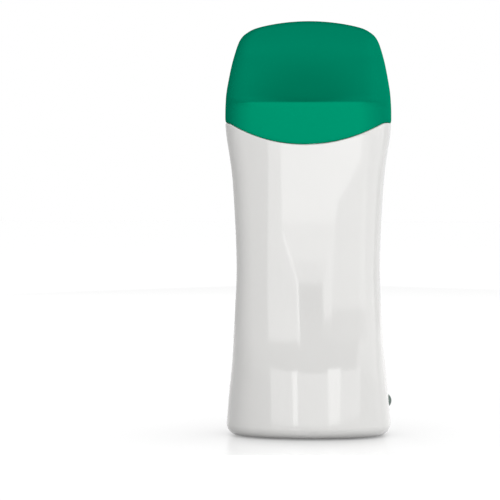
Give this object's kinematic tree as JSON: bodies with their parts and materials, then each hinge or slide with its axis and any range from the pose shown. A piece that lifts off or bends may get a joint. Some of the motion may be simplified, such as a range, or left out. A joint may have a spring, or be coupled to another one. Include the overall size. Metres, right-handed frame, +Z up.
{
  "type": "roll on wax heater",
  "caption": "Upright oval housing with a flared foot and a waist, a pull-off domed lid over a rectangular cartridge well, and a small round side button.",
  "frame": {"origin": "centre of the footprint on the resting surface", "axes": "+Z up, +X to the side with the button, +Y to the back with the mains inlet"},
  "size_m": [0.0684, 0.0568, 0.1705],
  "materials": {
    "white_shell": "satin",
    "green_lid": "satin",
    "green_lens": "gloss",
    "well_plastic": "matte",
    "black_plastic": "matte",
    "aluminium": "satin",
    "spring_steel": "satin",
    "zinc_screw": "satin",
    "brass_pin": "satin",
    "silicone_pad": "matte",
    "grey_rubber": "matte",
    "board_green": "satin",
    "capacitor_blue": "satin",
    "resistor_beige": "satin",
    "led_lens": "gloss",
    "wire_brown": "satin",
    "wire_blue": "satin",
    "wire_white": "satin"
  },
  "bodies": {
    "housing": {"front_shell": "white_shell", "rear_shell": "white_shell", "neck_collar": "white_shell", "cartridge_well": "well_plastic", "heat_plate": "aluminium", "ptc_heater": "aluminium", "insulation_pad": "silicone_pad", "ptc_clip": "spring_steel", "clip_screws": "zinc_screw", "thermostat": "black_plastic", "thermal_fuse": "aluminium", "circuit_board": "board_green", "board_capacitor": "capacitor_blue", "board_resistors": "resistor_beige", "board_screws": "zinc_screw", "switch_body": "black_plastic", "status_led": "led_lens", "inlet_socket": "black_plastic", "inlet_pins": "brass_pin", "live_lead": "wire_brown", "neutral_lead": "wire_blue", "heater_leads": "wire_white", "base_cover": "white_shell", "rubber_feet": "grey_rubber", "shell_screws": "zinc_screw"},
    "lid": {"lid": "green_lid"},
    "button": {"power_button": "green_lens", "switch_plunger": "black_plastic"}
  },
  "joints": [
    {"name": "lid_lift", "type": "slide", "parent": "housing", "child": "lid", "axis": [0, 0, 1], "range_m": [0, 0.06]},
    {"name": "button_press", "type": "slide", "parent": "housing", "child": "button", "axis": [-1, 0, 0], "range_m": [0, 0.0005], "stiffness_N_per_m": 1500, "springref_m": -0.001}
  ]
}
